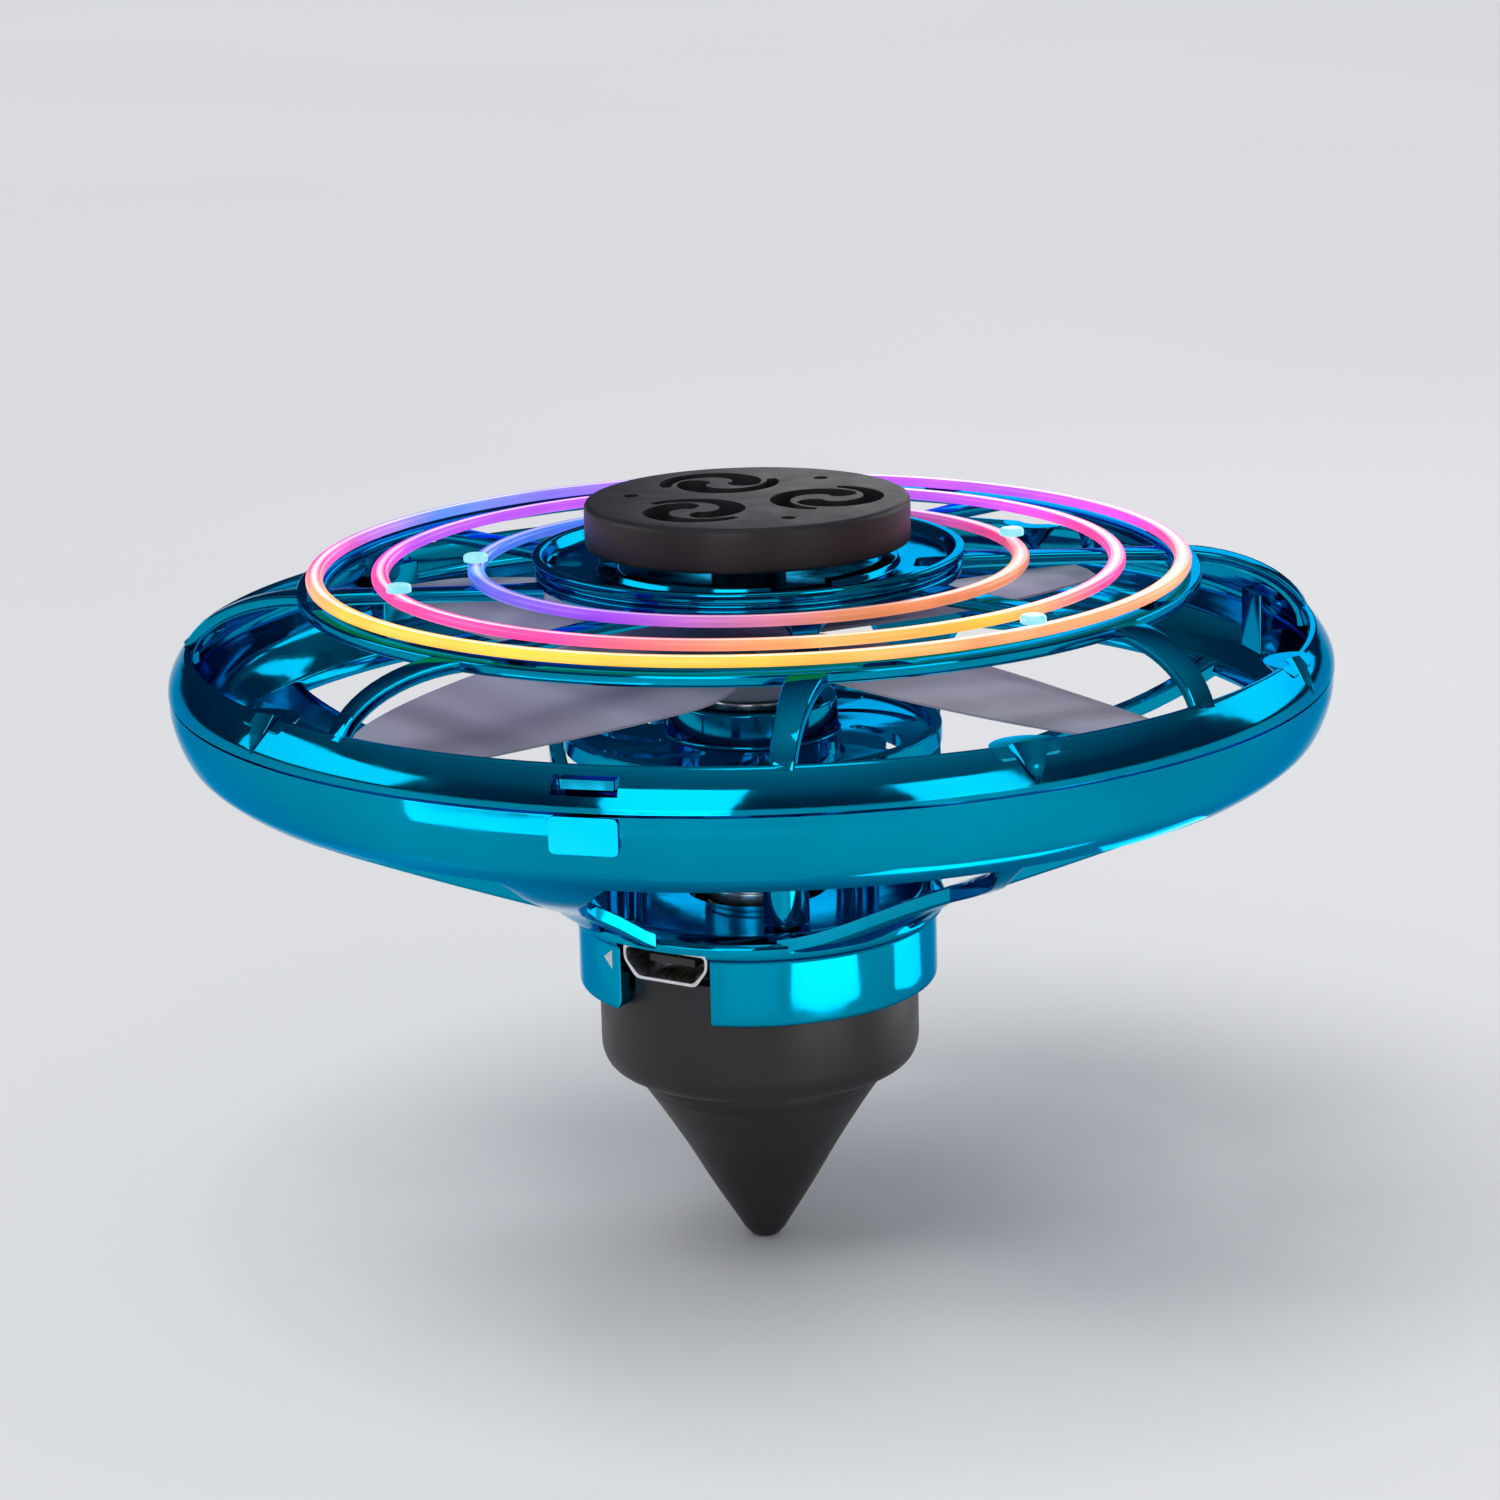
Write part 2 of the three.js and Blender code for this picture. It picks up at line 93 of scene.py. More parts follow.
# ---- mesh helpers -------------------------------------------------------------------------
def new_piece(name, verts, faces):
    """An object from points in millimetres, with its faces turned outward."""
    mesh = bpy.data.meshes.new(name)
    bm = bmesh.new()
    made = [bm.verts.new([c * MM for c in v]) for v in verts]
    for face in faces:
        bm.faces.new([made[i] for i in face])
    bmesh.ops.recalc_face_normals(bm, faces=bm.faces)
    bm.to_mesh(mesh)
    bm.free()
    piece = bpy.data.objects.new(name, mesh)
    bpy.context.scene.collection.objects.link(piece)
    return piece


def lathe(name, profile, steps=FINE):
    """Turned solid about Z from (radius, z) points. A profile clear of the axis closes on itself."""
    verts, rings, faces = [], [], []
    for r, z in profile:
        if r < 1e-6:
            rings.append([len(verts)])
            verts.append((0, 0, z))
            continue
        rings.append(list(range(len(verts), len(verts) + steps)))
        for i in range(steps):
            a = 2 * math.pi * i / steps
            verts.append((r * math.sin(a), -r * math.cos(a), z))
    pairs = list(zip(rings, rings[1:]))
    if len(rings[0]) > 1:
        pairs.append((rings[-1], rings[0]))
    for low, high in pairs:
        for i in range(steps):
            j = (i + 1) % steps
            corners = [low[i % len(low)], low[j % len(low)], high[j % len(high)], high[i % len(high)]]
            face = list(dict.fromkeys(corners))
            if len(face) > 2:
                faces.append(face)
    return new_piece(name, verts, faces)


def rounded(points, radius=0.3, steps=4):
    """A closed outline with eased corners. A point's third value, if any, is its own radius."""
    out = []
    count = len(points)
    for i, point in enumerate(points):
        here = Vector(point[:2])
        ease = point[2] if len(point) > 2 else radius
        before = Vector(points[i - 1][:2]) - here
        after = Vector(points[(i + 1) % count][:2]) - here
        reach = min(ease, before.length * 0.49, after.length * 0.49)
        if reach < 1e-4 or here.x < 1e-6:
            out.append(tuple(here))
            continue
        a = here + before.normalized() * reach
        b = here + after.normalized() * reach
        for k in range(steps + 1):
            t = k / steps
            p = a * (1 - t) ** 2 + here * 2 * t * (1 - t) + b * t ** 2
            out.append((p.x, p.y))
    return out


def loft(name, loops):
    """A solid through closed loops of 3-D points, capped at both ends."""
    count = len(loops[0])
    verts = [p for loop in loops for p in loop]
    faces = [list(range(count)), list(range(len(verts) - count, len(verts)))]
    for k in range(len(loops) - 1):
        for i in range(count):
            j = (i + 1) % count
            faces.append([k * count + i, k * count + j, (k + 1) * count + j, (k + 1) * count + i])
    return new_piece(name, verts, faces)


def prism(name, outline, z0, z1):
    return loft(name, [[(x, y, z) for x, y in outline] for z in (z0, z1)])


def block(name, x, y, z, ease=0.25):
    """A box with eased upright edges; x, y and z are (low, high)."""
    corners = [(x[0], y[0]), (x[1], y[0]), (x[1], y[1]), (x[0], y[1])]
    return prism(name, ring_of(corners, ease), z[0], z[1])


def ring_of(corners, ease, steps=4):
    """rounded(), without its rule for points on the axis."""
    shift = 1000.0
    moved = rounded([(x + shift, y) for x, y in corners], ease, steps)
    return [(x - shift, y) for x, y in moved]


def turned_to(piece, azimuth, move=(0, 0, 0)):
    """Moves a piece's mesh, then turns it about Z."""
    place = Matrix.Rotation(math.radians(azimuth), 4, "Z")
    piece.data.transform(place @ Matrix.Translation(Vector(move) * MM))
    return piece


def repeated(make, azimuths, move=(0, 0, 0)):
    return [turned_to(make(), azimuth, move) for azimuth in azimuths]


def solid_op(target, tools, operation):
    """Joins tools to the target, cuts them from it, or keeps what they share."""
    for tool in tools:
        change = target.modifiers.new("op", "BOOLEAN")
        change.operation = operation
        change.solver = "MANIFOLD"
        change.object = tool
    graph = bpy.context.evaluated_depsgraph_get()
    result = bpy.data.meshes.new_from_object(target.evaluated_get(graph))
    target.modifiers.clear()
    old = target.data
    target.data = result
    bpy.data.meshes.remove(old)
    for tool in tools:
        bpy.data.meshes.remove(tool.data)
    return target


def flat_list(groups):
    """Tools may be given one by one or in lists."""
    return [tool for group in groups for tool in (group if isinstance(group, list) else [group])]


def join(target, *tools):
    return solid_op(target, flat_list(tools), "UNION")


def cut(target, *tools):
    return solid_op(target, flat_list(tools), "DIFFERENCE")


def finished(piece, body, material, replaces=(), sharp=32):
    """Shades a piece, gives it its material and ties it to its body."""
    mesh = piece.data
    mesh.polygons.foreach_set("use_smooth", [True] * len(mesh.polygons))
    mesh.set_sharp_from_angle(angle=math.radians(sharp))
    mesh.materials.clear()
    mesh.materials.append(material)
    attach(piece, body)
    if replaces:
        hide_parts(*replaces)
    return piece


def lerp(a, b, t):
    return a + (b - a) * t


def smooth_line(points, per_span=6):
    """A Catmull-Rom line through points."""
    out = []
    for i in range(len(points) - 1):
        p0 = points[max(i - 1, 0)]
        p1, p2 = points[i], points[i + 1]
        p3 = points[min(i + 2, len(points) - 1)]
        for k in range(per_span):
            t = k / per_span
            out.append(tuple(
                0.5 * (2 * b + (c - a) * t + (2 * a - 5 * b + 4 * c - d) * t ** 2
                       + (3 * b - a - 3 * c + d) * t ** 3)
                for a, b, c, d in zip(p0, p1, p2, p3)))
    out.append(tuple(points[-1]))
    return out


# ---- materials ----------------------------------------------------------------------------
def fill_ramp(color_ramp, stops):
    elements = color_ramp.elements
    while len(elements) < len(stops):
        elements.new(0.5)
    for element, (place, color) in zip(elements, stops):
        element.position = place
        element.color = (*color, 1.0)


class Nodes:
    """Shorthand for building a node material."""

    def __init__(self, name):
        self.material = bpy.data.materials.new(name)
        self.material.use_nodes = True
        self.tree = self.material.node_tree
        self.shader = self.tree.nodes["Principled BSDF"]
        self.place = self.add("ShaderNodeTexCoord").outputs["Object"]

    def add(self, kind, **values):
        node = self.tree.nodes.new(kind)
        for key, value in values.items():
            setattr(node, key, value)
        return node

    def link(self, source, target):
        self.tree.links.new(source, target)

    def set(self, **values):
        for key, value in values.items():
            self.shader.inputs[key.replace("_", " ")].default_value = value

    def noise(self, scale, detail=3.0, roughness=0.5):
        node = self.add("ShaderNodeTexNoise")
        node.inputs["Scale"].default_value = scale
        node.inputs["Detail"].default_value = detail
        node.inputs["Roughness"].default_value = roughness
        self.link(self.place, node.inputs["Vector"])
        return node.outputs["Fac"]

    def ramp(self, factor, stops):
        node = self.add("ShaderNodeValToRGB")
        fill_ramp(node.color_ramp, stops)
        self.link(factor, node.inputs["Fac"])
        return node.outputs["Color"]

    def math(self, operation, a, b=0.0):
        node = self.add("ShaderNodeMath", operation=operation)
        for socket, value in zip(node.inputs, (a, b)):
            if isinstance(value, float):
                socket.default_value = value
            else:
                self.link(value, socket)
        return node.outputs["Value"]

    def span(self, factor, low, high, start=0.0, end=1.0):
        node = self.add("ShaderNodeMapRange")
        for key, value in {"From Min": start, "From Max": end, "To Min": low, "To Max": high}.items():
            node.inputs[key].default_value = value
        self.link(factor, node.inputs["Value"])
        return node.outputs["Result"]

    def mix(self, factor, a, b):
        node = self.add("ShaderNodeMix", data_type="RGBA")
        for socket, value in ((node.inputs["Factor"], factor), (node.inputs["A"], a), (node.inputs["B"], b)):
            if isinstance(value, (int, float)):
                socket.default_value = value
            elif isinstance(value, tuple):
                socket.default_value = (*value, 1.0)
            else:
                self.link(value, socket)
        return node.outputs["Result"]

    def bump(self, height, strength, distance):
        node = self.add("ShaderNodeBump")
        node.inputs["Strength"].default_value = strength
        node.inputs["Distance"].default_value = distance
        self.link(height, node.inputs["Height"])
        self.link(node.outputs["Normal"], self.shader.inputs["Normal"])

    def edges(self, low, high):
        pointiness = self.add("ShaderNodeNewGeometry").outputs["Pointiness"]
        return self.span(pointiness, 0.0, 1.0, low, high)


def chrome_blue():
    """Blue mirror coating on moulded plastic, with faint waviness and smudges; sharp edges get a lighter blue
    as a painted highlight.
    """
    n = Nodes("chrome_blue")
    n.set(Metallic=1.0)
    n.set(Specular_Tint=(0.10, 0.55, 0.85, 1.0))
    tone = n.ramp(n.noise(55, 3), [(0.3, (0.0, 0.26, 0.42)), (0.7, (0.0, 0.33, 0.52))])
    # Painted highlight: a lighter blue where the surface is sharp and convex.
    edge_highlight = n.mix(n.edges(0.56, 0.66), tone, (0.015, 0.42, 0.66))
    n.link(edge_highlight, n.shader.inputs["Base Color"])
    n.link(n.span(n.noise(160, 4, 0.6), 0.05, 0.15, 0.35, 0.7), n.shader.inputs["Roughness"])
    n.bump(n.noise(260, 2), 0.08, 0.0002)
    return n.material


def black_plastic():
    """Satin moulded plastic with a fine spark-eroded grain."""
    tone, roughness = (0.010, 0.0085, 0.010), 0.42
    n = Nodes("black_plastic")
    n.set(Specular_IOR_Level=0.35)
    lighter = tuple(c * 1.8 for c in tone)
    n.link(n.ramp(n.noise(90, 4), [(0.3, tone), (0.75, lighter)]), n.shader.inputs["Base Color"])
    n.link(n.span(n.noise(420, 3), roughness - 0.08, roughness + 0.1), n.shader.inputs["Roughness"])
    n.bump(n.noise(2600, 2), 0.25, 0.00005)
    return n.material


def blade_grey():
    """Thin grey plastic with a slight bluish cast."""
    n = Nodes("blade_grey")
    tone = n.ramp(n.noise(45, 3), [(0.3, (0.235, 0.250, 0.325)), (0.7, (0.262, 0.278, 0.36))])
    n.link(tone, n.shader.inputs["Base Color"])
    n.link(n.span(n.noise(300, 3), 0.38, 0.55), n.shader.inputs["Roughness"])
    n.bump(n.noise(1500, 2), 0.15, 0.00005)
    return n.material


def metal(name, dark, light, roughness, grain=(900, 900, 900)):
    """Bare metal whose grain sets its tone and its roughness."""
    n = Nodes(name)
    n.set(Metallic=1.0)
    stretch = n.add("ShaderNodeVectorMath", operation="MULTIPLY")
    stretch.inputs[1].default_value = grain
    n.link(n.place, stretch.inputs[0])
    streaks = n.add("ShaderNodeTexNoise")
    streaks.inputs["Scale"].default_value = 1.0
    n.link(stretch.outputs["Vector"], streaks.inputs["Vector"])
    n.link(n.ramp(streaks.outputs["Fac"], [(0.3, dark), (0.7, light)]), n.shader.inputs["Base Color"])
    n.link(n.span(streaks.outputs["Fac"], roughness - 0.06, roughness + 0.1), n.shader.inputs["Roughness"])
    return n.material


def plain(name, dark, light, roughness, scale=200):
    """A small matt or satin part in one mottled colour."""
    n = Nodes(name)
    n.link(n.ramp(n.noise(scale, 3), [(0.3, dark), (0.7, light)]), n.shader.inputs["Base Color"])
    n.link(n.span(n.noise(scale * 2, 3), roughness - 0.06, roughness + 0.08), n.shader.inputs["Roughness"])
    n.bump(n.noise(1200, 2), 0.15, 0.00005)
    return n.material


def light_guide(name, stops, strength, radius):
    """Lit clear plastic: a white core along the middle of the ring, and a colour that changes round it."""
    n = Nodes(name)
    split = n.add("ShaderNodeSeparateXYZ")
    n.link(n.place, split.inputs["Vector"])
    back = n.math("MULTIPLY", split.outputs["Y"], -1.0)
    around = n.span(n.math("ARCTAN2", split.outputs["X"], back), 0.0, 1.0, -math.pi, math.pi)
    colour = n.ramp(around, stops)
    square = n.math("ADD", n.math("POWER", split.outputs["X"], 2.0), n.math("POWER", split.outputs["Y"], 2.0))
    offset = n.math("ABSOLUTE", n.math("SUBTRACT", n.math("SQRT", square), radius * MM))
    core = n.span(offset, 0.75, 0.0, 0.00006, 0.00034)
    n.link(n.mix(core, colour, (1.0, 0.88, 0.92)), n.shader.inputs["Emission Color"])
    n.link(n.mix(0.7, colour, (0.0, 0.0, 0.0)), n.shader.inputs["Base Color"])
    n.link(n.span(n.noise(130, 2), strength * 0.8, strength * 1.2, 0.3, 0.7),
           n.shader.inputs["Emission Strength"])
    n.set(Roughness=0.2)
    return n.material


CHROME = chrome_blue()
BLACK = black_plastic()
GREY = blade_grey()
STEEL = metal("steel", (0.50, 0.51, 0.53), (0.68, 0.69, 0.71), 0.22)
BRASS = metal("brass", (0.55, 0.36, 0.12), (0.72, 0.52, 0.20), 0.30)
PORT_BLACK = plain("port_black", (0.008, 0.008, 0.009), (0.016, 0.016, 0.018), 0.45)
RUBBER = plain("rubber", (0.012, 0.012, 0.013), (0.022, 0.022, 0.024), 0.8, 400)
BOARD = plain("board", (0.006, 0.09, 0.035), (0.012, 0.15, 0.06), 0.35, 500)
FOIL = metal("battery_wrap", (0.50, 0.51, 0.54), (0.66, 0.67, 0.70), 0.35, (250, 250, 250))
NYLON = plain("nylon", (0.72, 0.70, 0.63), (0.80, 0.78, 0.71), 0.45)
WIRE_RED = plain("wire_red", (0.38, 0.015, 0.012), (0.50, 0.025, 0.02), 0.4, 300)
WIRE_BLACK = plain("wire_black", (0.008, 0.008, 0.008), (0.016, 0.016, 0.016), 0.4, 300)
GOLD, PEACH, PINK = (1.0, 0.50, 0.06), (1.0, 0.32, 0.14), (1.0, 0.06, 0.30)
VIOLET, BLUE = (0.42, 0.08, 1.0), (0.08, 0.22, 1.0)
# Colours round each ring, from the back by the left, the front (0.5) and the right.
ROUND_COLOURS = {
    "outer": [(0.0, VIOLET), (0.14, BLUE), (0.24, PINK), (0.33, GOLD), (0.50, GOLD), (0.58, PEACH),
              (0.70, PEACH), (0.77, PINK), (0.88, VIOLET), (1.0, VIOLET)],
    "middle": [(0.0, VIOLET), (0.18, VIOLET), (0.27, PINK), (0.42, PINK), (0.50, PEACH), (0.60, GOLD),
               (0.68, PINK), (0.80, PINK), (0.90, VIOLET), (1.0, VIOLET)],
    "inner": [(0.0, BLUE), (0.28, BLUE), (0.42, VIOLET), (0.55, PEACH), (0.70, PEACH), (0.80, PINK),
              (1.0, BLUE)],
}
STRENGTHS = {"outer": 1.25, "middle": 1.15, "inner": 0.7}
WHITE = plain("white_print", (0.72, 0.74, 0.74), (0.82, 0.84, 0.84), 0.5)
LIGHTS = {name: light_guide("light_" + name, ROUND_COLOURS[name], STRENGTHS[name], radius)
          for name, radius in LIGHT_RINGS.items()}


def led_lens():
    """A lit dome, pale blue and brightest in patches."""
    n = Nodes("led")
    core = n.ramp(n.noise(900, 2), [(0.3, (0.25, 0.85, 1.0)), (0.7, (0.55, 0.98, 1.0))])
    n.link(core, n.shader.inputs["Emission Color"])
    n.set(Emission_Strength=0.9, Roughness=0.1, Base_Color=(0.0, 0.03, 0.04, 1.0))
    return n.material


LED = led_lens()


# ---- upper guard --------------------------------------------------------------------------
ARCH_STEPS = 14
RUN_STEPS = 8
ARM_FOOT_WIDTH = 1.9
ARM_KNEE_WIDTH = 3.0
ARM_RUN_WIDTH = 2.0
ARM_HUB_FLARE = 1.4
ARM_THICK = 1.0


def upper_arm():
    """One arm: a rounded strip that arches from the rim to the middle ring and runs in to the hub."""
    knee, foot, hub = Vector((4.2, -KNEE_R)), Vector((2.0, -FOOT_R)), Vector((4.2, -HUB_R + 1.2))
    foot_z, top_z = RIM_Z - 1.7, DECK_TOP_Z - 0.55
    stations = []
    for k in range(ARCH_STEPS + 1):
        a = math.pi / 2 * k / ARCH_STEPS
        plan = knee + (foot - knee) * math.cos(a)
        z = foot_z + (top_z - foot_z) * math.sin(a)
        stations.append((plan, z, lerp(ARM_FOOT_WIDTH, ARM_KNEE_WIDTH, (k / ARCH_STEPS) ** 2)))
    for k in range(1, RUN_STEPS + 1):
        t = k / RUN_STEPS
        width = lerp(ARM_KNEE_WIDTH, ARM_RUN_WIDTH, min(1, 3 * t)) + ARM_HUB_FLARE * t ** 6
        stations.append((knee.lerp(hub, t), top_z, width))
    loops = []
    for i, (plan, z, width) in enumerate(stations):
        before = stations[max(i - 1, 0)]
        after = stations[min(i + 1, len(stations) - 1)]
        run = Vector((*(after[0] - before[0]), after[1] - before[1])).normalized()
        side = Vector((-run.y, run.x, 0)).normalized()
        up = side.cross(run) * -1
        half_w, half_t = width / 2, ARM_THICK / 2
        section = ring_of([(-half_w, -half_t), (half_w, -half_t), (half_w, half_t), (-half_w, half_t)],
                          0.22, 3)
        centre = Vector((plan.x, plan.y, z))
        loops.append([tuple(centre + side * u + up * v) for u, v in section])
    return loft("arm", loops)


def flutes(radius, low, high, centre_r):
    """Cones with their points down, for the V-shaped dents in the rim and their backs."""
    profile = [(0, low), (radius * 0.5, lerp(low, high, 0.5)), (radius, high),
               (radius * 1.05, high + 0.8), (0, high + 0.8)]
    return repeated(lambda: lathe("flute", profile, SMALL), FLUTE_AZ, (0, -centre_r, 0))


def upper_guard():
    bottom = SEAM_Z + HALF_SEAM
    outer = smooth_line([(RING_R, bottom), (47.36, 50.6), (47.0, 51.45), (46.5, 52.25), (46.1, 52.75)], 5)
    lip = [(45.95, 52.93), (45.75, RIM_Z), (45.5, 52.95), (45.3, 52.75)]
    inner = smooth_line([(45.35, 52.2), (45.7, 51.2), (46.05, 50.4), (46.1, bottom)], 4)
    body = lathe("guard_top", outer + lip + inner)
    backs = flutes(3.1, 49.95, RIM_Z - 0.1, 46.6)
    limit = lathe("limit", [(0, 49), (46.6, 49), (46.6, 52.3), (45.9, RIM_Z), (0, RIM_Z)], FINE)
    back = solid_op(join(backs[0], backs[1:]), [limit], "INTERSECT")
    body = join(body, back)
    cutters = flutes(2.35, 50.2, RIM_Z + 0.3, 47.35)
    windows = repeated(lambda: block("window", (-2.5, 2.5), (-49, -44), (51.0, 52.35), 0.1), LATCH_AZ)
    body = cut(body, cutters, windows)
    middle = lathe("middle", rounded([(KNEE_R - 1.4, 56.5), (KNEE_R + 1.0, 56.5), (KNEE_R + 1.0, DECK_TOP_Z),
                                      (KNEE_R - 1.4, DECK_TOP_Z)], 0.25), FINE)
    pocket = ring_of([(0.5, -36.5), (4.6, -36.3), (3.8, -35.0), (1.1, -35.1)], 0.3)
    pockets = repeated(lambda: prism("pocket", pocket, 56, 58), [12 + a for a in EIGHTHS])
    middle = cut(middle, pockets)
    hub = lathe("hub", rounded([
        (3.3, 54.6), (4.6, 54.6), (4.6, 56.9, 0.6), (HUB_R - 1.3, 56.9, 0.5), (HUB_R - 0.3, 57.15, 0.2),
        (HUB_R - 0.25, 57.9, 0.15), (HUB_R - 0.75, 58.05, 0.1), (HUB_R - 0.75, 58.4, 0.1),
        (HUB_R - 0.1, 58.55, 0.15), (HUB_R, HUB_TOP_Z, 0.25), (HUB_R - 0.9, HUB_TOP_Z, 0.25),
        (HUB_R - 1.2, 58.2, 0.4), (12.4, 58.0, 0.1), (12.2, 58.6, 0.15), (10.9, 58.6, 0.15),
        (10.7, 58.0, 0.1), (3.3, 58.0, 0.2)]), FINE)
    gaps = repeated(lambda: block("gap", (-2.6, 2.6), (-13.4, -9.6), (58.05, 59.0), 0.2),
                    [a + 20 for a in QUARTERS])
    slots = repeated(lambda: block("slot", (-1.8, 1.8), (-16.4, -13.6), (56, 59.0), 0.6),
                     [a + 38 for a in EIGHTHS])
    hub = cut(hub, gaps, slots)
    body = join(body, middle, hub, repeated(upper_arm, EIGHTHS))
    finished(body, "main_body", CHROME, ["upper_guard"])


# ---- lower guard --------------------------------------------------------------------------
# Radius and height of the bowl's outer surface, which the lower arms follow.
BOWL = [(0, 28.7), (14.9, 28.7), (20.0, 32.6), (28.5, 36.0), (38.5, 39.9), (44.0, 43.0), (46.2, 45.0),
        (48, 47.2)]


def bowl_z(r):
    """Height of the bowl's outer surface, straight between the listed points."""
    for (r0, z0), (r1, z1) in zip(BOWL, BOWL[1:]):
        if r <= r1:
            return lerp(z0, z1, (r - r0) / (r1 - r0))
    return BOWL[-1][1]


def bowl_smooth(r, reach=1.6):
    """The same height, averaged over a short reach so that no kink shows."""
    return sum(bowl_z(r + reach * k / 2) for k in (-2, -1, 0, 1, 2)) / 5


# Plan outlines of the two kinds of lower arm, from the ring in to the hub.
WIDE_ARM = ([(-24.5, -39.2), (-20.6, -39.8), (-18.6, -38.0), (-17.4, -34.0), (-16.8, -28), (-16.4, -20),
             (-16.3, -10), (-15.9, -5), (-15.2, -1.5)],
            [(-7.4, -45.4), (-9.6, -44.4), (-11.4, -41.0), (-12.6, -35.5), (-12.9, -28), (-12.8, -20),
             (-12.7, -10), (-12.3, -5), (-12.0, -1.5)])
NARROW_ARM = ([(15.0, -43.4), (17.2, -41.8), (17.5, -38.0), (17.2, -30), (16.4, -21), (14.6, -14.6),
               (11.8, -9.0)],
              [(23.0, -39.7), (20.4, -39.6), (19.2, -36.6), (18.5, -29.5), (17.7, -20.4), (16.0, -13.4),
               (13.4, -8.2)])


LOWER_ARM_COLUMNS = 8
LOWER_ARM_THICK = 1.45
LOWER_ARM_EASE = 0.22
LOWER_ARM_R = (14.1, 45.7)


def lower_arm(left_edge, right_edge):
    """A strip of the bowl between two edges, with its own edges eased."""
    columns = LOWER_ARM_COLUMNS
    loops = []
    for left, right in zip(smooth_line(left_edge, 5), smooth_line(right_edge, 5)):
        outer, inner = [], []
        for c in range(columns + 1):
            plan = Vector(left).lerp(Vector(right), c / columns)
            u = 2 * c / columns - 1
            r = min(plan.length, 45.6)
            edge = LOWER_ARM_EASE * abs(u) ** 8
            z = bowl_smooth(r)
            outer.append((plan.x, plan.y, z + edge))
            inner.append((plan.x, plan.y, z + LOWER_ARM_THICK - edge))
        loops.append(outer + inner[::-1])
    arm = loft("arm", loops)
    inner_r, outer_r = LOWER_ARM_R
    keep = lathe("keep", [(inner_r, 20), (outer_r, 20), (outer_r, 46.5), (inner_r, 46.5)], ROUND)
    return solid_op(arm, [keep], "INTERSECT")


def upright(name, outline, front, back):
    """An outline in x and z, carried from front to back."""
    return loft(name, [[(x, y, z) for x, z in outline] for y in (front, back)])


PORT_WINDOW = 4.3               # half the width of the skirt's opening round the port
TAB_CORNER = (-5.5, 24.25)      # the rounded corner's centre, in x and z beside the port
TAB_RADIUS = 1.2
SLEEVE_BORE = 5.6


def lower_guard():
    top = SEAM_Z - HALF_SEAM
    outer = smooth_line([(44.0, 43.1), (45.2, 43.95), (46.2, 45.0), (46.95, 46.6), (47.35, 48.2),
                         (RING_R - 0.1, top)], 5)
    inner = smooth_line([(46.0, top), (45.7, 47.6), (44.9, 45.9), (43.8, 44.5)], 5)
    body = lathe("guard_bottom", outer + inner + [(43.55, 43.6)])
    hub = lathe("hub", rounded([
        (SLEEVE_BORE, FLANGE_TOP_Z - 1.2), (SKIRT_R - 1.4, FLANGE_TOP_Z - 1.2, 0.3),
        (SKIRT_R - 1.4, SKIRT_BOTTOM_Z, 0.3),
        (SKIRT_R, SKIRT_BOTTOM_Z, 0.45), (SKIRT_R, 28.6, 0.3), (SKIRT_R + 0.6, 28.9, 0.3),
        (SKIRT_R + 0.8, 30.0, 0.4), (SKIRT_R - 0.4, 30.7, 0.3), (SKIRT_R - 1.2, FLANGE_TOP_Z, 0.3),
        (SLEEVE_BORE, FLANGE_TOP_Z)]), FINE)
    port = turned_to(block("port", (-PORT_WINDOW, PORT_WINDOW), (-18, -9.0), (22, 29.2), 0.1), PORT_AZ)
    # The tab left of the port ends in a rounded corner.
    x, z = TAB_CORNER
    curve = [(x + TAB_RADIUS * math.cos(math.radians(a)), z - TAB_RADIUS * math.sin(math.radians(a)))
             for a in range(0, 91, 15)]
    corner = upright("corner", [(-4.2, 22.0), (-4.2, z)] + curve + [(x, 22.0)], -18, -12)
    hub = cut(hub, port, turned_to(corner, PORT_AZ))
    switch = turned_to(block("switch", (-3.1, 3.1), (-17, -13), (26.1, 28.3), 0.1), SWITCH_AZ)
    holes = repeated(lambda: lathe("hole", [(0, 28), (1.2, 28), (1.2, 32), (0, 32)], 24), POST_AZ,
                     (0, -POST_R, 0))
    hub = cut(hub, switch, holes)
    boss_profile = [(1.1, 24.9), (1.7, 24.9), (1.7, 29.6), (1.1, 29.6)]
    bosses = repeated(lambda: lathe("boss", boss_profile, 24), BASE_SCREW_AZ, (0, -BASE_SCREW_R, 0))
    hooks = []
    # Each hook's root, blade and nose, as ranges of y and z.
    for y, z in (((-46.0, -43.9), (47.0, 49.0)), ((-45.1, -43.9), (47.0, 52.0)),
                 ((-46.4, -43.9), (51.3, 52.0))):
        hooks += repeated(lambda: block("hook", (-2.1, 2.1), y, z, 0.2), LATCH_AZ)
    pad = ring_of([(-2.6, 46.75), (2.6, 46.75), (2.6, top - 0.02), (-2.6, top - 0.02)], 0.5)
    pads = repeated(lambda: upright("pad", pad, -47.62, -46.0), LATCH_AZ)
    arms = [turned_to(lower_arm(*edges), a) for edges in (WIDE_ARM, NARROW_ARM) for a in QUARTERS]
    body = join(body, hub, bosses, hooks, pads, arms)
    finished(body, "main_body", CHROME, ["lower_guard"])


